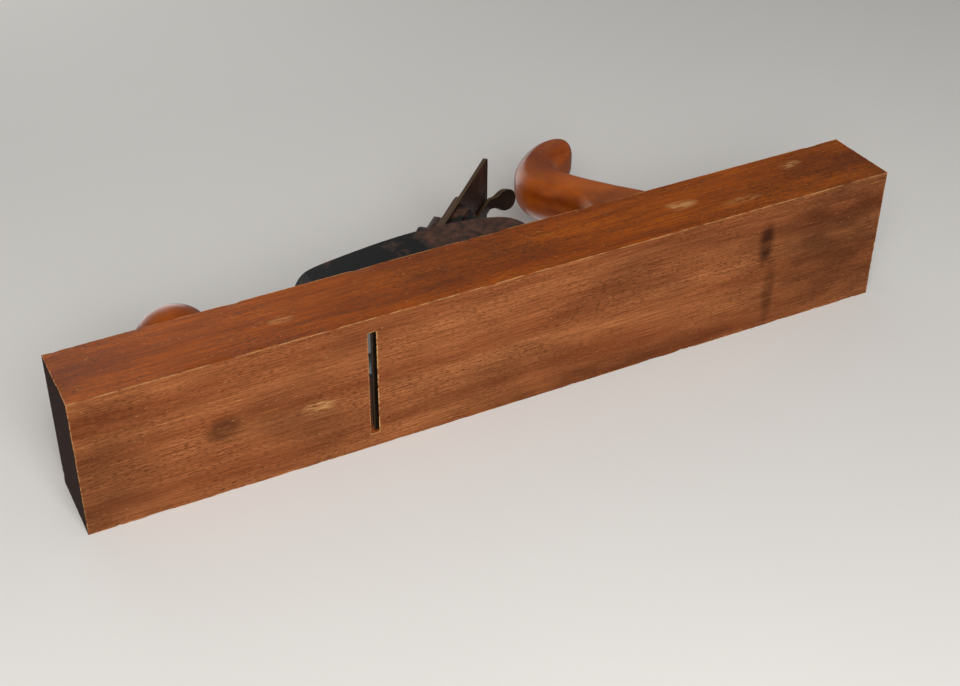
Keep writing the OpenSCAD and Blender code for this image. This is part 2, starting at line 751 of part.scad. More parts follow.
module cap_iron() {
    half = cap_w / 2;
    color(steel_colour) difference() {
        intersection() {
            bed_across(cap_w) cap_side();
            bed_plate(cap_h - over, cap_t + 8) polygon(concat(
                [[lip_s - over, half], [lip_s - over, -half]],
                curve([[cap_top_s - 14, -half], [cap_top_s - 4, -half],
                    [cap_top_s, -half * 0.7], [cap_top_s, 0]], 8),
                curve([[cap_top_s, 0], [cap_top_s, half * 0.7],
                    [cap_top_s - 4, half], [cap_top_s - 14, half]], 8),
                [[cap_top_s - 14, half]]));
        }
        bed_plate(cap_h - over, cap_t + 2 * over) {
            round_slot(cap_screw_s - 10, cap_screw_s + 8, slot_w / 2);
            translate([finger_s - finger_r - 0.25, -yoke_w / 2 - gap])
                square([2 * finger_r + 0.5, yoke_w + 2 * gap]);
            translate([cap_iron_screw_s, 0]) circle(cap_iron_shank_r);
        }
    }
}

// The screw that clamps cutter and cap iron, its head under the cutter
module cap_iron_screw() {
    color(steel_colour) difference() {
        union() {
            bed_pin(cap_iron_screw_s, iron_h - cap_iron_head_t, cap_iron_head_r, cap_iron_head_t);
            bed_pin(cap_iron_screw_s, iron_h - over, cap_iron_shank_r, cap_top_h - iron_h + over + 0.3);
        }
        on_bed() translate([cap_iron_screw_s, 0, iron_h - cap_iron_head_t])
            cube([1.6, 2 * cap_iron_head_r + over, 2.4], center = true);
    }
}

// Side view of the lever cap, from its lip to the shoulders over the cam
module lever_cap_side() {
    lip_h = cap_top_h + cap_rise + gap;
    low = lever_cap_low_s;
    top = lever_cap_top_s;
    polygon(concat(
        [[low, lip_h + 0.1], [low + 0.4, lip_h + 1.4]],
        chain([
            [[low + 0.4, lip_h + 1.4], [low + 5, lip_h + 3.6], [low + 10, lip_h + 5.4],
                [low + 20, lip_h + 5.8]],
            [[low + 20, lip_h + 5.8], [low + 50, lip_h + 6.6], [cam_s - 32, lip_h + 6],
                [cam_s - 18, lip_h + 6.8]],
            [[cam_s - 18, lip_h + 6.8], [cam_s - 10, lip_h + 7.4], [cam_s - 8, cam_h + 5.6],
                [cam_s, cam_h + 5.8]],
            [[cam_s, cam_h + 5.8], [cam_s + 4.4, cam_h + 5.8], [top, cam_h + 3.4], [top, cam_h]]], 8),
        [[top, cam_h], [top - 0.6, cam_h - 3.4], [cam_s - 2, cam_h - 4.2], [cam_s - 12, seat_low_h],
            [low + 12, seat_low_h], [low + 4, lip_h]]));
}

// Plan of the lever cap in s and y
module lever_cap_plan() {
    wide = lever_cap_w / 2;
    neck = shoulder_w / 2;
    low = lever_cap_low_s;
    top = lever_cap_top_s;
    edge = concat([[low - over, wide], [low + 16, wide]], chain([
        [[low + 16, wide], [low + 34, wide], [cam_s - 44, neck - 1], [cam_s - 22, neck - 1]],
        [[cam_s - 22, neck - 1], [cam_s - 8, neck - 1], [cam_s - 8, neck], [cam_s - 3, neck]],
        [[cam_s - 3, neck], [top - 1, neck], [top, neck - 5], [top + 0.5, neck - 9]]], 8));
    polygon(concat(edge, [for (i = [len(edge) - 1:-1:0]) [edge[i][0], -edge[i][1]]]));
}

// The lever cap with its keyhole, the seat of the screw and the notch for the cam
module lever_cap() {
    notch = 15;
    color(japan_colour) difference() {
        intersection() {
            bed_across(lever_cap_w) lever_cap_side();
            bed_plate(0, 40) lever_cap_plan();
        }
        bed_plate(0, 40) {
            round_slot(cap_screw_s - key_drop, cap_screw_s, cap_screw_r + 0.4);
            translate([cap_screw_s - key_drop, 0]) circle(cap_head_r + 0.6);
        }
        bed_plate(seat_top_h, 20) round_slot(cap_screw_s - key_drop, cap_screw_s + 0.5, cap_head_r + 0.7);
        bed_plate(0, 40) translate([cam_s - 9, -notch / 2]) square([30, notch]);
        cross_pin(bed_pt(cam_s, cam_h)[0], bed_pt(cam_s, cam_h)[1], cam_pin_r, cam_pin_l);
        bed_pin(spring_s, 0, spring_rivet_r, 40);
    }
}

module lever_cap_screw() {
    color(steel_colour) difference() {
        union() {
            bed_pin(cap_screw_s, -face_t - 0.8, cap_screw_r, face_t + 0.8 + seat_top_h + 0.2);
            bed_pin(cap_screw_s, seat_top_h + 0.1, cap_head_r, cap_head_t);
        }
        on_bed() translate([cap_screw_s, 0, seat_top_h + cap_head_t])
            cube([1.2, 2 * cap_head_r + over, 2], center = true);
    }
}

// Outline of the cam lever's dome from the pin in s and y, drawn in by inset
module dome_plan(inset) {
    half = dome_w / 2 - inset;
    root = 9 + inset;
    tip = dome_l - inset;
    edge = chain([
        [[root, half - 4], [root + 4, half - 2], [tip * 0.5, half], [tip * 0.62, half]],
        [[tip * 0.62, half], [tip * 0.84, half], [tip, half * 0.62], [tip, 0]]], 10);
    polygon(concat(edge, [[tip, 0]], [for (i = [len(edge) - 1:-1:0]) [edge[i][0], -edge[i][1]]]));
}

// Side view of the dome from the pin, drawn in by inset and open below
module dome_side(inset) {
    low = inset > 0 ? -12 : -1;
    polygon(concat(chain([
        [[9 + inset, 5 - inset], [14, 9.4 - inset], [18, 10.4 - inset], [24, 10.4 - inset]],
        [[24, 10.4 - inset], [31, 10.4 - inset], [dome_l - inset, 8 - inset], [dome_l - inset, 2.4]]], 8),
        [[dome_l - inset, 2.4], [dome_l - inset, low + 1.4], [9 + inset, low]]));
}

// Section of the dome across the plane in y and h from the pin
module dome_section(inset) {
    half = dome_w / 2 - inset;
    top = 10.4 - inset;
    steps = 16;
    polygon(concat([[half, -14], [half, 1]],
        [for (i = [0:steps]) [half * cos(180 * i / steps), 1 + (top - 1) * pow(sin(180 * i / steps), 0.7)]],
        [[-half, 1], [-half, -14]]));
}

module dome(inset) {
    intersection() {
        rotate([90, 0, 0]) linear_extrude(2 * dome_w, center = true) dome_side(inset);
        translate([0, 0, -20]) linear_extrude(60) dome_plan(inset);
        rotate([90, 0, 90]) linear_extrude(2 * dome_l) dome_section(inset);
    }
}

// The cam lever: an eccentric hub on the pin and a hollow thumb dome
module cam_lever() {
    hub_w = 14;
    skin = 2.4;
    color(rust_colour) on_bed() translate([cam_s, 0, cam_h]) difference() {
        union() {
            translate([0, 0, -cam_throw]) rotate([90, 0, 0]) cylinder(h = hub_w, r = cam_r, center = true);
            rotate([90, 0, 0]) linear_extrude(hub_w, center = true) polygon([
                [-2, 3.8], [2, 5], [9.6, 5.2], [13, 6.4], [13, 1], [9, -1], [4, -3.6]]);
            difference() {
                dome(0);
                translate([1.4, 0, 0]) dome(skin);
            }
        }
        rotate([90, 0, 0]) cylinder(h = hub_w + 2 * over, r = cam_pin_r + fit, center = true);
    }
}

module cam_pin() {
    color(steel_colour) cross_pin(bed_pt(cam_s, cam_h)[0], bed_pt(cam_s, cam_h)[1], cam_pin_r, cam_pin_l);
}

// The flat spring under the lever cap, which the cam bears on
module cap_spring() {
    low = cap_top_h + gap;
    color(steel_colour) difference() {
        bed_across(spring_w) polygon([
            [spring_s - 5, seat_low_h - spring_t], [spring_s + 6, seat_low_h - spring_t],
            [cam_s - 10, low], [cam_s + 8, low], [cam_s + 8, low + spring_t],
            [cam_s - 9.8, low + spring_t], [spring_s + 6.4, seat_low_h], [spring_s - 5, seat_low_h]]);
        bed_pin(spring_s, 0, spring_rivet_r, 20);
    }
}

module spring_rivet() {
    head_h = seat_low_h - spring_t - 1;
    color(steel_colour) union() {
        bed_pin(spring_s, head_h, spring_rivet_r, 5.6);
        bed_pin(spring_s, head_h, 3.2, 1);
    }
}

// The turned knob: foot, waist, round head and the nut's sinking
module knob() {
    foot_r = knob_r * 0.82;
    full_z = knob_h * 0.71;
    color(varnish_colour) translate([knob_x, 0, stock_h]) difference() {
        rotate_extrude() polygon(concat([[0, 0]], chain([
            [[foot_r - 0.6, 0], [foot_r + 0.6, 1.6], [foot_r + 0.2, 3.6], [foot_r - 1, 5]],
            [[foot_r - 1, 5], [waist_r + 2, 7], [waist_r, 10], [waist_r, 14]],
            [[waist_r, 14], [waist_r, 20], [knob_r, 22], [knob_r, full_z]],
            [[knob_r, full_z], [knob_r, knob_h - 5], [knob_r * 0.62, knob_h], [nut_r + 3, knob_h]]], 10),
            [[nut_r + 3, knob_h], [0, knob_h]]));
        translate([0, 0, -over]) cylinder(h = knob_h + 2 * over, r = bolt_r + 0.3);
        translate([0, 0, knob_h - nut_t + 1]) cylinder(h = nut_t, r = nut_r + 0.1);
    }
}

// A slotted round nut with a domed top, standing on Z = 0
module domed_nut() {
    difference() {
        rotate_extrude() polygon([[0, 0], [nut_r, 0], [nut_r, nut_t - 2], [nut_r - 0.6, nut_t - 0.9],
            [nut_r - 2, nut_t - 0.2], [nut_r * 0.4, nut_t + 0.3], [0, nut_t + 0.4]]);
        translate([0, 0, -over]) cylinder(h = nut_t - 0.6, r = bolt_r);
        translate([0, 0, nut_t]) cube([2 * nut_r + over, 1.4, 2.6], center = true);
    }
}

module knob_bolt() {
    color(steel_colour) translate([knob_x, 0, stock_h - knob_bolt_deep])
        cylinder(h = knob_bolt_deep + knob_h - nut_t + 1 + nut_t - 1.8, r = bolt_r);
}

module knob_nut() {
    color(brass_colour) translate([knob_x, 0, stock_h + knob_h - nut_t + 1]) domed_nut();
}

// Outline of the tote in u, heelwards from its foot's front, and v, up from its foot.
// It is drawn for a tote 122 long and 117.5 high and follows the two sizes.
function tote_at(u, v) = [u * tote_l / 122, v * tote_h / 117.5];
tote_curves = [
    [tote_at(119, 0), tote_at(80, 0), tote_at(41, 0), tote_at(3, 0)],
    [tote_at(3, 0), tote_at(-1, 3), tote_at(0, 10), tote_at(8, 10.5)],
    [tote_at(8, 10.5), tote_at(28, 12.5), tote_at(42, 26.5), tote_at(39, 46.5)],
    [tote_at(39, 46.5), tote_at(37, 56.5), tote_at(27, 62.5), tote_at(23.5, 73)],
    [tote_at(23.5, 73), tote_at(20.5, 85), tote_at(26, 98), tote_at(37, 107)],
    [tote_at(37, 107), tote_at(44, 113), tote_at(53, 117.5), tote_at(61, 117.5)],
    [tote_at(61, 117.5), tote_at(70, 117.5), tote_at(74.5, 110.5), tote_at(71.5, 104)],
    [tote_at(71.5, 104), tote_at(67, 97), tote_at(53.5, 97), tote_at(50.5, 87.5)],
    [tote_at(50.5, 87.5), tote_at(48, 78.5), tote_at(62, 62.5), tote_at(71, 50.5)],
    [tote_at(71, 50.5), tote_at(84, 34.5), tote_at(93, 16.5), tote_at(113, 9)],
    [tote_at(113, 9), tote_at(119, 7), tote_at(123, 2), tote_at(119, 0)]];
// Rounding at the start of each curve: how far the side draws in, and over what depth
tote_round = [[0.5, 0.5], [0.5, 0.5], [3, 4], [7.5, 11.5], [7.5, 11.5], [7.5, 11.5],
    [6.5, 11], [5.5, 10], [7, 11.5], [7.5, 11.5], [3, 5]];
tote_steps = 7;
tote_rings = 6;

function tote_outline() = chain(tote_curves, tote_steps);
function tote_rounding() = [for (k = [0:len(tote_round) - 1]) for (i = [0:tote_steps - 1])
    let (t = i / tote_steps, next = tote_round[(k + 1) % len(tote_round)])
    (1 - t) * tote_round[k] + t * next];
// Unit vector out of the outline p at its point i
function outward(p, i) = let (
    n = len(p), d = p[(i + 1) % n] - p[(i + n - 1) % n]) [-d[1], d[0]] / norm(d);

// The tote as rings from its right side to its left, each drawn in by its rounding
module tote_body() {
    p = tote_outline();
    r = tote_rounding();
    n = len(p);
    half = [for (j = [0:tote_rings]) 90 * j / tote_rings];
    angles = concat([for (j = [tote_rings:-1:0]) -half[j]], [for (j = [0:tote_rings]) half[j]]);
    points = [for (j = [0:len(angles) - 1]) for (i = [0:n - 1]) let (
        side = j <= tote_rings ? -1 : 1,
        inset = r[i][0] * (1 - cos(angles[j])),
        y = side * (tote_t / 2 - r[i][1]) + r[i][1] * sin(angles[j]),
        q = p[i] - inset * outward(p, i)) [tote_x - q[0], y, seat_z + q[1]]];
    rings = len(angles);
    sides = [for (j = [0:rings - 2]) for (i = [0:n - 1]) let (
        a = j * n + i, b = j * n + (i + 1) % n) each [[a, a + n, b], [b, a + n, b + n]]];
    // Each flat side is filled between the front edge and the back edge, curve by curve
    foot = tote_steps;
    flat = concat(
        [for (i = [0:foot]) [i, i + 1, foot + 1]],
        [[0, foot + 1, n - 1]],
        [for (k = [1:5 * tote_steps - 1]) each [
            [foot + k, foot + k + 1, n - k], [n - k, foot + k + 1, n - k - 1]]]);
    near = [for (f = flat) if (f[0] != f[1] && f[1] != f[2] && f[0] != f[2]) f];
    far = [for (f = near) [for (i = [2:-1:0]) (rings - 1) * n + f[i]]];
    polyhedron(points = points, faces = concat(near, sides, far));
}

module tote() {
    color(varnish_colour) difference() {
        tote_body();
        rod_axis() translate([0, 0, -5]) cylinder(h = tote_h + 20, r = bolt_r + 0.3);
        rod_axis() translate([0, 0, rod_seat]) cylinder(h = 30, r = nut_r + 0.1);
        translate([toe_screw_x, 0, seat_z - over]) cylinder(h = 30, r = screw_r + 0.2);
        translate([toe_screw_x, 0, seat_z + toe_screw_up]) cylinder(h = 20, r = frog_head_r + 0.2);
    }
}

module tote_rod() {
    color(steel_colour) rod_axis() translate([0, 0, -rod_deep])
        cylinder(h = rod_deep + rod_seat + nut_t - 1.8, r = bolt_r);
}

module tote_nut() {
    color(brass_colour) rod_axis() translate([0, 0, rod_seat]) domed_nut();
}

module tote_screw() {
    color(steel_colour) translate([toe_screw_x, 0, 0]) difference() {
        union() {
            translate([0, 0, stock_h - 7]) cylinder(h = plate_t + 7 + toe_screw_up, r = screw_r);
            translate([0, 0, seat_z + toe_screw_up]) rotate_extrude() polygon([[0, 0],
                [frog_head_r, 0], [frog_head_r, 1.6], [frog_head_r * 0.6, 3], [0, 3.2]]);
        }
        translate([0, 0, seat_z + toe_screw_up + 3.2]) cube([20, 1.2, 3], center = true);
    }
}

stock();
frame();
frame_screws();
frog();
frog_screws();
frog_washers();
adjuster_stud();
adjusting_nut();
yoke();
yoke_pin();
lateral_lever();
lateral_pin();
lateral_roller();
roller_rivet();
cutter();
cap_iron();
cap_iron_screw();
lever_cap();
lever_cap_screw();
cam_lever();
cam_pin();
cap_spring();
spring_rivet();
knob();
knob_bolt();
knob_nut();
tote();
tote_rod();
tote_nut();
tote_screw();
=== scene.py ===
"""Dresses a wood-bottomed fore plane: worn woods, japanned castings, patinated steel and a studio stage."""

import math

import bmesh
import bpy
from mathutils import Matrix, Vector, noise


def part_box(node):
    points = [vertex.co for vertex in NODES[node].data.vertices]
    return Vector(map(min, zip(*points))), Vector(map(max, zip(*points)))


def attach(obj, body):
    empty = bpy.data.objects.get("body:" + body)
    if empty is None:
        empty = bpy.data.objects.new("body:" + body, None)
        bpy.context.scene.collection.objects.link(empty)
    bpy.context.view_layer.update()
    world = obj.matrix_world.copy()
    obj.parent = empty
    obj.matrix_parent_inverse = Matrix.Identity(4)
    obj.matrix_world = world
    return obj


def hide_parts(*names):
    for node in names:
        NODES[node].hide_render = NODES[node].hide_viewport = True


bl_info = {
    "name": "Wood-bottomed fore plane",
    "version": (1, 0, 0),
    "blender": (4, 5, 0),
    "location": "3D View > Sidebar > Plane",
    "description": "Builds the finishes, the worn woods and the stage of a fore plane",
    "category": "Object",
}

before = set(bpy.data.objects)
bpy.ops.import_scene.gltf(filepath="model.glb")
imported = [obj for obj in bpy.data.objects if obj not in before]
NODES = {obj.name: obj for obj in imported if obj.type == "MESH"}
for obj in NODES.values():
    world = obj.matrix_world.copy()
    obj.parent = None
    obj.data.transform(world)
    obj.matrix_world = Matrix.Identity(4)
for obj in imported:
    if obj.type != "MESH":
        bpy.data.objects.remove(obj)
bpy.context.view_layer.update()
MM = 0.001

# Places that the CAD nodes give
STOCK_LOW, STOCK_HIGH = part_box("stock")
TOTE_LOW, TOTE_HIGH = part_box("tote")
KNOB_LOW, KNOB_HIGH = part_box("knob")
NUT_LOW, NUT_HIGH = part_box("knob_nut")

# The bed slopes at 45 degrees, so its grinding marks and its layers run along this turn
BED_TURN = math.radians(45)
ROD_LEAN = math.radians(20.8)
ROD_FROM_TOE = 353.2 * MM
ROD_SEAT = 101 * MM
NUT_HOLE = 6.6 * MM
SCREW_HOLE = 5.0 * MM
SCREW_SEAT = 5.5 * MM
SEAT_Z = TOTE_LOW.z

# The tote's outline as cubic curves, in millimetres heelwards from its foot's front and
# up from its foot, and how far its sides draw in, and how deep, at the start of each
TOTE_CURVES = (
    ((119, 0), (80, 0), (41, 0), (3, 0)),
    ((3, 0), (-1, 3), (0, 10), (8, 10.5)),
    ((8, 10.5), (28, 12.5), (42, 26.5), (39, 46.5)),
    ((39, 46.5), (37, 56.5), (27, 62.5), (23.5, 73)),
    ((23.5, 73), (20.5, 85), (26, 98), (37, 107)),
    ((37, 107), (44, 113), (53, 117.5), (61, 117.5)),
    ((61, 117.5), (70, 117.5), (74.5, 110.5), (71.5, 104)),
    ((71.5, 104), (67, 97), (53.5, 97), (50.5, 87.5)),
    ((50.5, 87.5), (48, 78.5), (62, 62.5), (71, 50.5)),
    ((71, 50.5), (84, 34.5), (93, 16.5), (113, 9)),
    ((113, 9), (119, 7), (123, 2), (119, 0)),
)
TOTE_ROUNDING = (
    (0.5, 0.5), (0.5, 0.5), (3, 4), (7.5, 11.5), (7.5, 11.5), (7.5, 11.5),
    (6.5, 11), (5.5, 10), (7, 11.5), (7.5, 11.5), (3, 5),
)
TOTE_FROM_TOE = 280 * MM
TOTE_STEPS = 14
TOTE_RINGS = 9

# The knob: its foot and widest place as shares of its radius and height, the radii of its
# waist and bore in millimetres, and the facets of each curve and of the turning
KNOB_FOOT = 0.82
KNOB_FULL = 0.71
KNOB_WAIST = 12.5
KNOB_BORE = 3.3
KNOB_STEPS = 12
KNOB_TURNS = 72

# Wear of the stock's arrises: its reach from them, the pitches of its coarse and fine noise
# in blots per metre, the fine one's share, and the level under which nothing is worn
WEAR_REACH = 3.2 * MM
WEAR_COARSE = 90
WEAR_FINE = 330
WEAR_FINE_SHARE = 0.6
WEAR_FLOOR = 0.12
# Share of the remesh's cube that the stock fills
OCTREE_FILL = 0.95

# Drilled holes, seams and corners of the meshes
HOLE_FACETS = 48
HOLE_DEPTH = 30 * MM
SEAM = 0.001 * MM
SMOOTH_BELOW = math.radians(40)
BROKEN_ABOVE = math.radians(50)

# The floor's reach, its gap from the stock and its darker clouds, how bright the backdrop
# looks to the camera, and the nearest and farthest that the camera sees, in metres
FLOOR_REACH = 6.0
FLOOR_GAP = 0.1 * MM
FLOOR_SHADE = 0.94
BACKDROP = 0.78
NEAREST, FARTHEST = 0.01, 50

# Marks on the stock: centre, reach along each axis, and depth; dark stains, partly painted shade at the heel
# and the toe end, and pale scuffs
STAINS_AND_SHADE = (
    ((156, -1, 0), (12, 9, 6), 0.75),
    ((-153, 16, 0), (6, 18, 6), 0.7),
    ((-158, -16, 0), (5, 24, 6), 0.6),
    # Darker heel: partly stain, partly painted shade where the light falls off
    ((-215, 10, 0), (90, 70, 60), 0.6),
    # Darker toe end: partly stain, partly painted shade
    ((232, 0, 20), (60, 60, 60), 0.5),
    ((-60, -37, 0), (120, 12, 8), 0.45),
    ((30, 39, 32), (90, 6, 14), 0.3),
)
SCUFFS = (
    ((107, -4, 0), (11, 5, 4), 0.6),
    ((-111, 39, 22), (12, 4, 5), 0.6),
    ((-188, 39, 31), (9, 4, 5), 0.5),
    ((117, 39, 19), (8, 4, 4), 0.35),
    ((-143, 39, 12), (14, 4, 4), 0.3),
)


def linear(colour):
    """Linear red, green, blue and alpha of an sRGB hex colour."""
    parts = [int(colour[i : i + 2], 16) / 255 for i in (1, 3, 5)]
    return [p / 12.92 if p <= 0.04045 else ((p + 0.055) / 1.055) ** 2.4 for p in parts] + [1.0]


def add(tree, kind, inputs=(), **settings):
    """Adds a shader node with its settings, and links or sets its inputs."""
    made = tree.nodes.new("ShaderNode" + kind)
    for name, value in settings.items():
        setattr(made, name, value)
    for key, value in dict(inputs).items():
        if isinstance(value, bpy.types.NodeSocket):
            tree.links.new(value, made.inputs[key])
        else:
            made.inputs[key].default_value = value
    return made


def material(name):
    """A new material: its node tree and its surface shader."""
    made = bpy.data.materials.new(name)
    made.use_nodes = True
    tree = made.node_tree
    return made, tree, tree.nodes["Principled BSDF"]


def ramp(tree, value, low, high, start=0.0, end=1.0):
    """Start to end as the value passes from low to high."""
    return add(tree, "MapRange", {
        "Value": value, "From Min": low, "From Max": high, "To Min": start, "To Max": end,
    }).outputs[0]


def streaks(tree, size, detail, low, high, turn=(0, 0, 0)):
    """A noise whose blots reach size millimetres along each axis: 0 to 1 as it passes from low to high."""
    place = add(tree, "TexCoord").outputs["Object"]
    reach = [s * MM for s in size]
    mapped = add(tree, "Mapping", {"Vector": place, "Rotation": turn, "Scale": reach},
                 vector_type="TEXTURE")
    clouds = add(tree, "TexNoise", {"Vector": mapped.outputs[0], "Scale": 1.0, "Detail": detail})
    return ramp(tree, clouds.outputs["Fac"], low, high)


def tint(tree, amount, below, above):
    """Lays the colour above over the colour below by amount."""
    return add(tree, "Mix", {0: amount, 6: below, 7: above}, data_type="RGBA").outputs[2]


def worn_edges(tree, radius, low, high):
    """1 on the edges that handling has rubbed, within radius of them."""
    soft = add(tree, "Bevel", {"Radius": radius}, samples=4).outputs[0]
    true = add(tree, "NewGeometry").outputs["Normal"]
    bend = add(tree, "VectorMath", {0: soft, 1: true}, operation="DOT_PRODUCT").outputs["Value"]
    return ramp(tree, bend, low, high)


def both(tree, a, b, operation="MULTIPLY"):
    """Two values joined by one operation, a product unless another is named, held in 0 to 1."""
    return add(tree, "Math", {0: a, 1: b}, operation=operation, use_clamp=True).outputs[0]


def marks(tree, places):
    """Soft spots at the given places."""
    where = add(tree, "TexCoord").outputs["Object"]
    total = 0.0
    for centre, reach, depth in places:
        spot = add(tree, "Mapping", {
            "Vector": where, "Location": [c * MM for c in centre], "Scale": [r * MM for r in reach],
        }, vector_type="TEXTURE")
        ball = add(tree, "TexGradient", {"Vector": spot.outputs[0]}, gradient_type="SPHERICAL")
        eased = ramp(tree, ball.outputs["Fac"], 0, 0.6, 0, depth)
        total = both(tree, total, eased, "ADD")
    return total


def dent(tree, height, strength, distance):
    """A bump normal from a height."""
    return add(tree, "Bump", {"Height": height, "Strength": strength, "Distance": distance}).outputs[0]


def beech_flecks(tree, length, width):
    """The short dark rays that beech shows on its long faces."""
    short = streaks(tree, (length, width, width), 1.5, 0.5, 0.64)
    return both(tree, short, streaks(tree, (60, 25, 25), 2, 0.25, 0.6))


def oiled_beech(woods):
    """Planed beech, oiled and handled: matter and cooler on the sole, honey varnish on the sides."""
    made, tree, shader = material("oiled_beech")
    facing = add(tree, "SeparateXYZ", {0: add(tree, "TexCoord").outputs["Normal"]})
    sole = ramp(tree, facing.outputs["Z"], -0.5, -0.85)
    side_way = add(tree, "Math", {0: facing.outputs["X"]}, operation="ABSOLUTE").outputs[0]
    end = ramp(tree, side_way, 0.5, 0.85)
    # Growth rings run the length of the stock and wander: 16 mm wide bands, 0.2 m long.
    # Fibres are about 0.1 mm thick on the real wood, drawn 0.7 mm so that they show.
    bands = streaks(tree, (200, 16, 16), 3, 0.32, 0.68)
    fibres = streaks(tree, (24, 0.7, 0.7), 2, 0.3, 0.7)
    # Rays are 2 mm by 0.2 mm on the real wood, drawn 3 by 0.45 so that they show
    flecks = beech_flecks(tree, 3, 0.45)
    side_wood = tint(tree, bands, linear(woods.side_dark), linear(woods.side_light))
    sole_wood = tint(tree, bands, linear(woods.sole_dark), linear(woods.sole_light))
    wood = tint(tree, sole, side_wood, sole_wood)
    wood = tint(tree, both(tree, fibres, 0.75), wood, linear(woods.fibre))
    wood = tint(tree, both(tree, flecks, 0.75), wood, linear(woods.fleck))
    # Broad clouds of grime from the hand and the bench
    grime = streaks(tree, (80, 40, 40), 5, 0.48, 0.72)
    wood = tint(tree, both(tree, grime, 0.42), wood, linear(woods.grime))
    # Dark stains, with painted shade darkening the heel and the toe end
    stained_and_shaded = both(tree, marks(tree, STAINS_AND_SHADE), streaks(tree, (30, 12, 12), 4, 0.2, 0.55))
    wood = tint(tree, stained_and_shaded, wood, linear(woods.grime))
    # Scratches across the grain and scuffs show the paler wood under the finish
    across = streaks(tree, (40, 0.4, 0.4), 0, 0.82, 0.87, (0.5, 0.35, 0.7))
    along = streaks(tree, (90, 0.4, 0.4), 0, 0.81, 0.86, (0.1, -0.12, -0.14))
    scratches = both(tree, across, along, "ADD")
    scuffed = both(tree, marks(tree, SCUFFS), streaks(tree, (9, 1.2, 1.2), 4, 0.46, 0.58))
    wood = tint(tree, both(tree, scuffed, both(tree, scratches, 0.6), "ADD"), wood, linear(woods.bare))
    # End grain drinks oil, so it is darker, and its colour is darker still with painted shade of the toe end.
    # Its pores are 0.1 mm wide, drawn 1.2 mm.
    pores = streaks(tree, (16, 1.2, 1.2), 1, 0.5, 0.7)
    end_grain_and_shade = tint(tree, pores, linear(woods.end), linear(woods.fleck))
    wood = tint(tree, end, wood, end_grain_and_shade)
    broken = streaks(tree, (8, 2.5, 2.5), 4, 0.4, 0.56)
    rubbed = both(tree, worn_edges(tree, 1.2 * MM, 0.99, 0.8), broken)
    wood = tint(tree, both(tree, rubbed, 0.9), wood, linear(woods.bare))
    tree.links.new(wood, shader.inputs["Base Color"])
    rough = ramp(tree, sole, 0, 1, 0.42, 0.6)
    rough = both(tree, rough, both(tree, grime, 0.12), "ADD")
    rough = both(tree, rough, both(tree, end, 0.4), "ADD")
    tree.links.new(rough, shader.inputs["Roughness"])
    relief = both(tree, both(tree, fibres, 0.3), both(tree, flecks, 0.6), "ADD")
    relief = both(tree, relief, scratches, "ADD")
    tree.links.new(dent(tree, relief, 0.35, -0.12 * MM), shader.inputs["Normal"])
    shader.inputs["IOR"].default_value = 1.5
    shader.inputs["Specular IOR Level"].default_value = 0.18
    return made


def varnished_beech(woods):
    """Turned and carved beech under old spirit varnish: deep orange-brown with a soft gloss."""
    made, tree, shader = material("varnished_beech")
    bands = streaks(tree, (33, 9, 33), 3, 0.3, 0.7)
    flecks = beech_flecks(tree, 2.6, 0.45)
    wood = tint(tree, bands, linear(woods.varnish_dark), linear(woods.varnish_light))
    wood = tint(tree, both(tree, flecks, 0.45), wood, linear(woods.fleck))
    grime = streaks(tree, (28, 28, 28), 4, 0.5, 0.75)
    wood = tint(tree, both(tree, grime, 0.5), wood, linear(woods.grime))
    broken = streaks(tree, (5, 5, 5), 3, 0.45, 0.6)
    rubbed = both(tree, worn_edges(tree, 1.5 * MM, 0.99, 0.9), broken)
    wood = tint(tree, both(tree, rubbed, 0.5), wood, linear(woods.bare))
    tree.links.new(wood, shader.inputs["Base Color"])
    tree.links.new(ramp(tree, grime, 0, 1, 0.3, 0.45), shader.inputs["Roughness"])
    tree.links.new(dent(tree, flecks, 0.2, -0.08 * MM), shader.inputs["Normal"])
    shader.inputs["IOR"].default_value = 1.5
    shader.inputs["Specular IOR Level"].default_value = 0.3
    shader.inputs["Coat Weight"].default_value = 0.12
    shader.inputs["Coat Roughness"].default_value = 0.3
    return made


def japanned_iron(metals, name, rust_low, rust_high, rusty_behind):
    """Sand-cast iron under black japan, which has chipped to brown rust on rims, in patches and
    behind the given place in millimetres."""
    made, tree, shader = material(name)
    patches = streaks(tree, (18, 13, 13), 5, rust_low, rust_high)
    place = add(tree, "SeparateXYZ", {0: add(tree, "TexCoord").outputs["Object"]}).outputs["X"]
    wander = streaks(tree, (20, 20, 20), 4, 0.2, 0.8)
    shifted = add(tree, "Math", {0: wander, 1: 0.03, 2: place}, operation="MULTIPLY_ADD").outputs[0]
    far = ramp(tree, shifted, (rusty_behind + 19) * MM, (rusty_behind + 9) * MM)
    patches = both(tree, patches, both(tree, far, 0.9), "ADD")
    chips = streaks(tree, (3.3, 3.3, 3.3), 3, 0.45, 0.6)
    rims = both(tree, worn_edges(tree, 1.2 * MM, 0.995, 0.9), chips)
    rust = both(tree, patches, rims, "ADD")
    rust_colour = tint(tree, streaks(tree, (4, 4, 4), 4, 0.35, 0.65),
                       linear(metals.rust_dark), linear(metals.rust_light))
    tree.links.new(tint(tree, rust, linear(metals.japan), rust_colour), shader.inputs["Base Color"])
    tree.links.new(ramp(tree, rust, 0, 1, 0.32, 0.75), shader.inputs["Roughness"])
    # The sand of the mould leaves grains of about 0.6 mm, drawn 1.2 mm wide
    sand = streaks(tree, (1.2, 1.2, 1.2), 2, 0.3, 0.7)
    relief = both(tree, both(tree, sand, 0.6), both(tree, rust, 0.4), "ADD")
    tree.links.new(dent(tree, relief, 0.4, 0.12 * MM), shader.inputs["Normal"])
    shader.inputs["Specular IOR Level"].default_value = 0.3
    return made


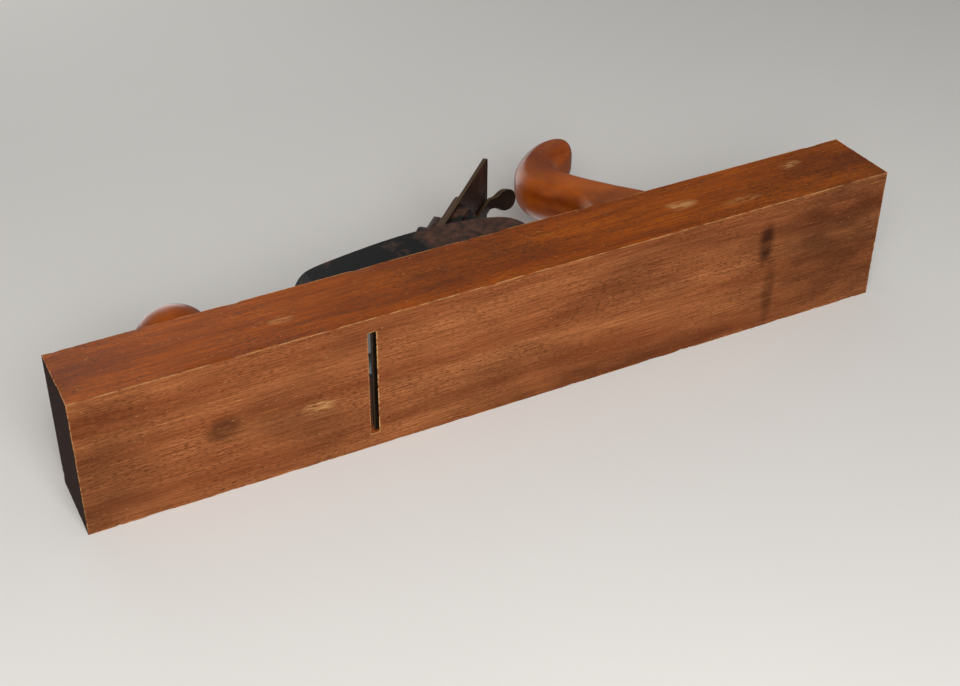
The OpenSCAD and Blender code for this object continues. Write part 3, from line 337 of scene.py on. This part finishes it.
def patina_steel(metals, name, dark, light):
    """Ground tool steel gone brown: a thin oxide over bare metal, brighter along its edges."""
    made, tree, shader = material(name)
    cloud = streaks(tree, (16, 16, 16), 5, 0.35, 0.68)
    # Grinding marks run across the blade, 0.15 mm apart, drawn 0.5 mm apart
    grinding = streaks(tree, (0.5, 25, 0.5), 1, 0.3, 0.7, (0, BED_TURN, 0))
    steel = tint(tree, cloud, linear(dark), linear(light))
    steel = tint(tree, both(tree, grinding, 0.3), steel, linear(metals.rust_dark))
    spots = streaks(tree, (2.4, 2.4, 2.4), 3, 0.62, 0.7)
    steel = tint(tree, both(tree, spots, 0.6), steel, linear(metals.rust_dark))
    # The narrow sides were filed bright once and have gone bronze
    way = add(tree, "SeparateXYZ", {0: add(tree, "TexCoord").outputs["Normal"]}).outputs["Y"]
    side_way = add(tree, "Math", {0: way}, operation="ABSOLUTE").outputs[0]
    filed = ramp(tree, side_way, 0.7, 0.95, 0, 0.8)
    bright = both(tree, both(tree, worn_edges(tree, 1.0 * MM, 0.99, 0.85), 0.75), filed, "ADD")
    steel = tint(tree, bright, steel, linear(metals.steel_edge))
    tree.links.new(steel, shader.inputs["Base Color"])
    rough = ramp(tree, cloud, 0, 1, 0.5, 0.36)
    tree.links.new(both(tree, rough, both(tree, spots, 0.3), "ADD"), shader.inputs["Roughness"])
    tree.links.new(dent(tree, both(tree, grinding, spots, "ADD"), 0.15, -0.05 * MM), shader.inputs["Normal"])
    shader.inputs["Metallic"].default_value = 0.75
    return made


def aged_brass(metals):
    """Turned brass, dull yellow where fingers touch it and brown with tarnish elsewhere."""
    made, tree, shader = material("aged_brass")
    tarnish = streaks(tree, (9, 9, 9), 5, 0.35, 0.65)
    bright = worn_edges(tree, 0.8 * MM, 0.99, 0.85)
    brass = tint(tree, tarnish, linear(metals.brass), linear(metals.tarnish))
    brass = tint(tree, both(tree, bright, 0.7), brass, linear(metals.brass_edge))
    tree.links.new(brass, shader.inputs["Base Color"])
    tree.links.new(ramp(tree, tarnish, 0, 1, 0.3, 0.5), shader.inputs["Roughness"])
    # Turning marks are 0.2 mm apart on the real nuts, drawn 0.7 mm apart
    turning = streaks(tree, (17, 0.7, 0.7), 1, 0.3, 0.7)
    tree.links.new(dent(tree, turning, 0.12, 0.05 * MM), shader.inputs["Normal"])
    shader.inputs["Metallic"].default_value = 1.0
    return made


def cubic(knots, t):
    """Point at share t of a cubic curve."""
    s = 1 - t
    parts = (s**3, 3 * t * s * s, 3 * t * t * s, t**3)
    return Vector([sum(p * k[axis] for p, k in zip(parts, knots)) for axis in range(len(knots[0]))])


def piece(name, mesh, finish, body, slot, *stands_for):
    """Links a piece, smooths it, and says what it rides on and stands for."""
    mesh.polygons.foreach_set("use_smooth", [True] * len(mesh.polygons))
    mesh.set_sharp_from_angle(angle=SMOOTH_BELOW)
    mesh.materials.clear()
    mesh.materials.append(finish)
    made = bpy.data.objects.new(name, mesh)
    bpy.context.scene.collection.objects.link(made)
    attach(made, body)
    if stands_for:
        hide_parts(*stands_for)
    return made


def settled(source):
    """The mesh of an object with its modifiers applied."""
    graph = bpy.context.evaluated_depsgraph_get()
    return bpy.data.meshes.new_from_object(source.evaluated_get(graph))


def drill(blank, holes):
    """Cuts round holes, each given as radius and place, out of a mesh."""
    work = bpy.data.objects.new("work", blank)
    bpy.context.scene.collection.objects.link(work)
    tools = []
    for radius, place in holes:
        shape = bmesh.new()
        bmesh.ops.create_cone(
            shape, cap_ends=True, segments=HOLE_FACETS, radius1=radius, radius2=radius,
            depth=HOLE_DEPTH, matrix=place @ Matrix.Translation((0, 0, HOLE_DEPTH / 2)))
        mesh = bpy.data.meshes.new("tool")
        shape.to_mesh(mesh)
        shape.free()
        tool = bpy.data.objects.new("tool", mesh)
        bpy.context.scene.collection.objects.link(tool)
        tools.append(tool)
        cut = work.modifiers.new("hole", "BOOLEAN")
        cut.object = tool
        cut.solver = "EXACT"
    result = settled(work)
    for spent in [work, *tools]:
        bpy.data.objects.remove(spent)
    return result


def finish_nodes(names, finish, width):
    """Gives CAD nodes their finish and breaks their sharp corners by width."""
    for name in names:
        node = NODES[name]
        for place in node.material_slots:
            place.link = "OBJECT"
            place.material = finish
        if width:
            seam = node.modifiers.new("joined seams", "WELD")
            seam.merge_threshold = SEAM
            corner = node.modifiers.new("broken corners", "BEVEL")
            corner.width = width
            corner.segments = 2
            corner.limit_method = "ANGLE"
            corner.angle_limit = BROKEN_ABOVE


class PlaneWoods(bpy.types.PropertyGroup):
    """Colours of the woods."""

    side_dark: bpy.props.StringProperty(
        name="Side, dark", description="Darker bands of the sides", default="#843600")
    side_light: bpy.props.StringProperty(
        name="Side, light", description="Paler bands of the sides", default="#bc5c00")
    sole_dark: bpy.props.StringProperty(
        name="Sole, dark", description="Darker bands of the sole", default="#8e4a26")
    sole_light: bpy.props.StringProperty(
        name="Sole, light", description="Paler bands of the sole", default="#c47a48")
    # End grain: dark with oil, and darker still with painted shade
    end: bpy.props.StringProperty(
        name="End grain", description="Oil-dark end grain", default="#2c150b")
    fibre: bpy.props.StringProperty(
        name="Fibre", description="Fine fibres", default="#64300f")
    fleck: bpy.props.StringProperty(
        name="Flecks", description="Dark rays of the beech", default="#4e2409")
    grime: bpy.props.StringProperty(
        name="Grime", description="Hand grime and stains", default="#3f1c06")
    bare: bpy.props.StringProperty(
        name="Bare wood", description="Wood under the finish", default="#cf9c62")
    varnish_dark: bpy.props.StringProperty(
        name="Varnish, dark", description="Deep varnish", default="#7c3206")
    varnish_light: bpy.props.StringProperty(
        name="Varnish, light", description="Clear varnish", default="#b4580e")
    wear: bpy.props.FloatProperty(
        name="Wear", description="Depth of the worn spots on the arrises", default=0.5 * MM, unit="LENGTH")
    fineness: bpy.props.IntProperty(
        name="Fineness", description="Halvings from the stock's length to its faces", default=8)


class PlaneMetals(bpy.types.PropertyGroup):
    """Colours of the metals."""

    japan: bpy.props.StringProperty(
        name="Japan", description="Black japan", default="#0d0b0a")
    rust_dark: bpy.props.StringProperty(
        name="Rust, dark", description="Old rust", default="#2c1b15")
    rust_light: bpy.props.StringProperty(
        name="Rust, light", description="Brown rust", default="#553524")
    steel_dark: bpy.props.StringProperty(
        name="Steel, dark", description="Dark patina", default="#211711")
    steel_light: bpy.props.StringProperty(
        name="Steel, light", description="Thin patina", default="#45342a")
    steel_edge: bpy.props.StringProperty(
        name="Steel edge", description="Rubbed edges", default="#6e543a")
    brass: bpy.props.StringProperty(
        name="Brass", description="Dull brass", default="#a8823f")
    brass_edge: bpy.props.StringProperty(
        name="Brass edge", description="Rubbed brass", default="#d0ab60")
    tarnish: bpy.props.StringProperty(
        name="Tarnish", description="Brown tarnish", default="#5d4020")


class PlaneStage(bpy.types.PropertyGroup):
    """Camera, floor and lamps. The camera was fitted to the corners of the stock."""

    place: bpy.props.FloatVectorProperty(
        name="Camera place", description="Where the camera stands",
        default=(0.3163, 0.4559, -0.5550), subtype="TRANSLATION")
    turn: bpy.props.FloatVectorProperty(
        name="Camera turn", description="Which way the camera points",
        default=[math.radians(a) for a in (146.569, 23.696, -177.540)], subtype="EULER")
    lens: bpy.props.FloatProperty(name="Lens", description="Focal length in millimetres", default=57.57)
    shift: bpy.props.FloatVectorProperty(
        name="Shift", description="Sideways and upward shift of the lens", size=2, default=(0.1381, -0.0304))
    floor: bpy.props.StringProperty(
        name="Floor", description="Pale floor", default="#dedbd6")
    key: bpy.props.FloatProperty(
        name="Key lamp", description="Power of the key lamp", default=17.0, subtype="POWER")
    fill: bpy.props.FloatProperty(
        name="Fill lamps", description="Power of the side lamps", default=4.5, subtype="POWER")
    sky: bpy.props.FloatProperty(
        name="Sky", description="Level of the light from all round", default=0.2)


class PLANE_OT_stock(bpy.types.Operator):
    """Build the beech stock with its worn arrises"""

    bl_idname = "plane.stock"
    bl_label = "Stock"

    def execute(self, context):
        woods = context.scene.plane_woods
        work = bpy.data.objects.new("work", NODES["stock"].data.copy())
        context.scene.collection.objects.link(work)
        remesh = work.modifiers.new("even faces", "REMESH")
        remesh.mode = "SHARP"
        remesh.octree_depth = woods.fineness
        remesh.scale = OCTREE_FILL
        mesh = settled(work)
        bpy.data.objects.remove(work)
        for vertex in mesh.vertices:
            at = vertex.co
            gaps = sorted((
                (STOCK_HIGH.x - abs(at.x), 0), (STOCK_HIGH.y - abs(at.y), 1),
                (min(at.z, STOCK_HIGH.z - at.z), 2)))
            edge = max(gaps[0][0], gaps[1][0])
            if edge > WEAR_REACH:
                continue
            rough = noise.noise(at * WEAR_COARSE) + WEAR_FINE_SHARE * noise.noise(at * WEAR_FINE)
            ease = max(0.0, rough - WEAR_FLOOR) * woods.wear * (1 - max(edge, 0) / WEAR_REACH)
            for _, axis in gaps[:2]:
                middle = STOCK_HIGH.z / 2 if axis == 2 else 0.0
                at[axis] -= math.copysign(ease, at[axis] - middle)
        low, high = STOCK_LOW, STOCK_HIGH
        for vertex in mesh.vertices:
            vertex.co = [min(max(c, low[i]), high[i]) for i, c in enumerate(vertex.co)]
        piece("worn_stock", mesh, oiled_beech(woods), "plane", "beech", "stock")
        return {"FINISHED"}


def tote_mesh():
    """The tote: rings from its right side to its left, each drawn in by its rounding."""
    front = STOCK_HIGH.x - TOTE_FROM_TOE
    half = (TOTE_HIGH.y - TOTE_LOW.y) / 2
    outline, rounding = [], []
    for k, knots in enumerate(TOTE_CURVES):
        here, after = TOTE_ROUNDING[k], TOTE_ROUNDING[(k + 1) % len(TOTE_ROUNDING)]
        for i in range(TOTE_STEPS):
            t = i / TOTE_STEPS
            outline.append(cubic(knots, t))
            rounding.append([(1 - t) * a + t * b for a, b in zip(here, after)])
    count = len(outline)
    shape = bmesh.new()
    quarter = [90 * j / TOTE_RINGS for j in range(TOTE_RINGS + 1)]
    angles = [-90 + angle for angle in quarter] + quarter
    loops = []
    for j, angle in enumerate(angles):
        side = -1 if j < len(quarter) else 1
        loop = []
        for i, at in enumerate(outline):
            ahead = outline[(i + 1) % count] - outline[i - 1]
            out = Vector((-ahead.y, ahead.x)).normalized()
            draw, deep = rounding[i]
            point = at - out * draw * (1 - math.cos(math.radians(angle)))
            y = side * (half - deep * MM) + deep * MM * math.sin(math.radians(angle))
            loop.append(shape.verts.new((front - point.x * MM, y, SEAT_Z + point.y * MM)))
        loops.append(loop)
    for near, far in zip(loops, loops[1:]):
        for i in range(count):
            after = (i + 1) % count
            shape.faces.new((near[i], far[i], far[after], near[after]))
    for loop in (loops[0], loops[-1]):
        shape.faces.new(loop)
    bmesh.ops.recalc_face_normals(shape, faces=shape.faces)
    mesh = bpy.data.meshes.new("tote")
    shape.to_mesh(mesh)
    shape.free()
    return mesh


class PLANE_OT_tote(bpy.types.Operator):
    """Build the varnished tote"""

    bl_idname = "plane.tote"
    bl_label = "Tote"

    def execute(self, context):
        rod = (Matrix.Translation((STOCK_HIGH.x - ROD_FROM_TOE, 0, SEAT_Z))
               @ Matrix.Rotation(ROD_LEAN, 4, "Y") @ Matrix.Translation((0, 0, ROD_SEAT)))
        screw_low, screw_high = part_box("tote_screw")
        screw = Matrix.Translation(((screw_low.x + screw_high.x) / 2, 0, SEAT_Z + SCREW_SEAT))
        mesh = drill(tote_mesh(), ((NUT_HOLE, rod), (SCREW_HOLE, screw)))
        made = varnished_beech(context.scene.plane_woods)
        piece("varnished_tote", mesh, made, "plane", "varnished_beech", "tote")
        return {"FINISHED"}


class PLANE_OT_knob(bpy.types.Operator):
    """Turn the varnished knob"""

    bl_idname = "plane.knob"
    bl_label = "Knob"

    def execute(self, context):
        radius = (KNOB_HIGH.y - KNOB_LOW.y) / 2 / MM
        height = (KNOB_HIGH.z - KNOB_LOW.z) / MM
        nut = (NUT_HIGH.y - NUT_LOW.y) / 2 / MM
        foot, waist, full = radius * KNOB_FOOT, KNOB_WAIST, height * KNOB_FULL
        sunk = height - (KNOB_HIGH.z - NUT_LOW.z) / MM
        curves = (
            ((foot - 0.6, 0), (foot + 0.6, 1.6), (foot + 0.2, 3.6), (foot - 1, 5)),
            ((foot - 1, 5), (waist + 2, 7), (waist, 10), (waist, 14)),
            ((waist, 14), (waist, 20), (radius, 22), (radius, full)),
            ((radius, full), (radius, height - 5), (radius * 0.62, height), (nut + 3, height)),
        )
        profile = [cubic(c, i / KNOB_STEPS) for c in curves for i in range(KNOB_STEPS)]
        profile += [Vector(p) for p in (
            (nut + 3, height), (nut + 0.5, height), (nut + 0.1, height - 0.4),
            (nut + 0.1, sunk), (KNOB_BORE, sunk), (KNOB_BORE, 0))]
        turns = KNOB_TURNS
        middle = (KNOB_LOW + KNOB_HIGH) / 2
        shape = bmesh.new()
        rings = []
        for r, z in profile:
            rings.append([shape.verts.new((
                middle.x + r * MM * math.cos(2 * math.pi * i / turns),
                r * MM * math.sin(2 * math.pi * i / turns), KNOB_LOW.z + z * MM)) for i in range(turns)])
        for low, high in zip(rings, rings[1:] + rings[:1]):
            for i in range(turns):
                shape.faces.new((low[i], low[(i + 1) % turns], high[(i + 1) % turns], high[i]))
        bmesh.ops.recalc_face_normals(shape, faces=shape.faces)
        mesh = bpy.data.meshes.new("knob")
        shape.to_mesh(mesh)
        shape.free()
        piece("varnished_knob", mesh, varnished_beech(context.scene.plane_woods), "plane",
              "varnished_beech", "knob")
        return {"FINISHED"}


class PLANE_OT_castings(bpy.types.Operator):
    """Finish the japanned frame, frog and lever cap, and the brown iron levers"""

    bl_idname = "plane.castings"
    bl_label = "Castings"

    def execute(self, context):
        metals = context.scene.plane_metals
        sound = japanned_iron(metals, "japanned_frame", 0.6, 0.7, 20)
        chipped = japanned_iron(metals, "japanned_iron", 0.52, 0.66, -200)
        rusty = japanned_iron(metals, "rusty_iron", 0.25, 0.45, 200)
        finish_nodes(["frame"], sound, 0.5 * MM)
        finish_nodes(["frog", "lever_cap"], chipped, 0.4 * MM)
        finish_nodes(["yoke", "cam_lever"], rusty, 0.25 * MM)
        return {"FINISHED"}


class PLANE_OT_steel(bpy.types.Operator):
    """Finish the cutter, cap iron, levers, pins and screws"""

    bl_idname = "plane.steel"
    bl_label = "Steel"

    def execute(self, context):
        metals = context.scene.plane_metals
        blade = patina_steel(metals, "patina_blade", metals.steel_dark, metals.steel_light)
        screws = patina_steel(metals, "patina_screws", metals.rust_dark, metals.steel_light)
        finish_nodes(["cutter", "cap_iron", "lateral_lever"], blade, 0.15 * MM)
        finish_nodes(["cap_iron_screw", "frame_screws", "frog_screws", "frog_washers", "lever_cap_screw",
                      "tote_screw"], screws, 0.15 * MM)
        finish_nodes(["adjuster_stud", "yoke_pin", "lateral_pin", "lateral_roller", "roller_rivet", "cam_pin",
                      "cap_spring", "spring_rivet", "knob_bolt", "tote_rod"], screws, 0)
        return {"FINISHED"}


class PLANE_OT_brass(bpy.types.Operator):
    """Finish the adjusting nut and the nuts of knob and tote"""

    bl_idname = "plane.brass"
    bl_label = "Brass"

    def execute(self, context):
        brass = aged_brass(context.scene.plane_metals)
        finish_nodes(["adjusting_nut", "knob_nut", "tote_nut"], brass, 0.12 * MM)
        return {"FINISHED"}


def lamp(name, power, size, place, target):
    """A soft square lamp that points at the target."""
    light = bpy.data.lights.new(name, "AREA")
    light.energy = power
    light.size = size
    made = bpy.data.objects.new(name, light)
    made.location = place
    made.rotation_euler = (Vector(target) - Vector(place)).to_track_quat("-Z", "Y").to_euler()
    bpy.context.scene.collection.objects.link(made)


class PLANE_OT_stage(bpy.types.Operator):
    """Set the camera, the pale floor and the soft lamps"""

    bl_idname = "plane.stage"
    bl_label = "Stage"

    def execute(self, context):
        stage = context.scene.plane_stage
        eye = bpy.data.cameras.new("camera")
        eye.lens = stage.lens
        eye.shift_x, eye.shift_y = stage.shift
        eye.clip_start, eye.clip_end = NEAREST, FARTHEST
        camera = bpy.data.objects.new("camera", eye)
        camera.location = stage.place
        camera.rotation_euler = stage.turn
        context.scene.collection.objects.link(camera)
        context.scene.camera = camera
        # The plane lies on its right side in the main view, so the floor touches that side.
        # Its face towards the plane shows, and from behind it is clear.
        reach = FLOOR_REACH
        level = STOCK_LOW.y - FLOOR_GAP
        mesh = bpy.data.meshes.new("floor")
        corners = ((-reach, -reach), (-reach, reach), (reach, reach), (reach, -reach))
        mesh.from_pydata([(x, level, z) for x, z in corners], [], [(0, 1, 2, 3)])
        made, tree, shader = material("paper_floor")
        clouds = streaks(tree, (330, 330, 330), 3, 0.2, 0.8)
        pale = linear(stage.floor)
        shade = [c * FLOOR_SHADE for c in pale[:3]] + [1.0]
        tree.links.new(tint(tree, clouds, pale, shade), shader.inputs["Base Color"])
        shader.inputs["Roughness"].default_value = 0.9
        clear = add(tree, "BsdfTransparent")
        behind = add(tree, "NewGeometry").outputs["Backfacing"]
        show = add(tree, "MixShader", {0: behind, 1: shader.outputs[0], 2: clear.outputs[0]})
        tree.links.new(show.outputs[0], tree.nodes["Material Output"].inputs["Surface"])
        mesh.materials.append(made)
        floor = bpy.data.objects.new("floor", mesh)
        context.scene.collection.objects.link(floor)
        for ray in ("visible_diffuse", "visible_glossy", "visible_shadow", "visible_transmission"):
            setattr(floor, ray, False)
        lamp("key", stage.key, 0.8, (0.36, 0.8, -0.88), (0, 0, 0.02))
        lamp("front", 0.6 * stage.fill, 1.0, (-0.1, 0.35, -1.1), (0, 0, 0.02))
        lamp("top", stage.fill, 0.9, (0.1, 0.1, 1.1), (0, 0, 0.05))
        lamp("right", stage.fill, 0.9, (0.2, -1.1, 0.35), (0, 0, 0.05))
        world = bpy.data.worlds.new("studio")
        world.use_nodes = True
        sky = world.node_tree
        back = sky.nodes["Background"]
        back.inputs["Color"].default_value = linear("#ffffff")
        seen = add(sky, "LightPath").outputs["Is Camera Ray"]
        sky.links.new(ramp(sky, seen, 0, 1, stage.sky, BACKDROP), back.inputs["Strength"])
        context.scene.world = world
        context.scene.view_settings.view_transform = "Standard"
        return {"FINISHED"}


OPERATORS = (
    PLANE_OT_stage, PLANE_OT_stock, PLANE_OT_tote, PLANE_OT_knob,
    PLANE_OT_castings, PLANE_OT_steel, PLANE_OT_brass,
)
GROUPS = {"plane_woods": PlaneWoods, "plane_metals": PlaneMetals, "plane_stage": PlaneStage}


class PLANE_PT_panel(bpy.types.Panel):
    """The plane's pieces, one button each"""

    bl_label = "Fore plane"
    bl_idname = "PLANE_PT_panel"
    bl_space_type = "VIEW_3D"
    bl_region_type = "UI"
    bl_category = "Plane"

    def draw(self, context):
        for kind in OPERATORS:
            self.layout.operator(kind.bl_idname)
        for group, kind in GROUPS.items():
            for name in kind.__annotations__:
                self.layout.prop(getattr(context.scene, group), name)


def register():
    """Registers the settings, the operators and the panel."""
    for name, kind in GROUPS.items():
        bpy.utils.register_class(kind)
        setattr(bpy.types.Scene, name, bpy.props.PointerProperty(type=kind))
    for kind in (*OPERATORS, PLANE_PT_panel):
        bpy.utils.register_class(kind)


def unregister():
    """Takes the panel, the operators and the settings away again."""
    for kind in (PLANE_PT_panel, *reversed(OPERATORS)):
        bpy.utils.unregister_class(kind)
    for name, kind in GROUPS.items():
        delattr(bpy.types.Scene, name)
        bpy.utils.unregister_class(kind)


def main():
    """Builds the whole plane and its stage."""
    register()
    for kind in OPERATORS:
        group, name = kind.bl_idname.split(".")
        getattr(getattr(bpy.ops, group), name)()
    bpy.context.view_layer.update()


if __name__ == "__main__":
    main()
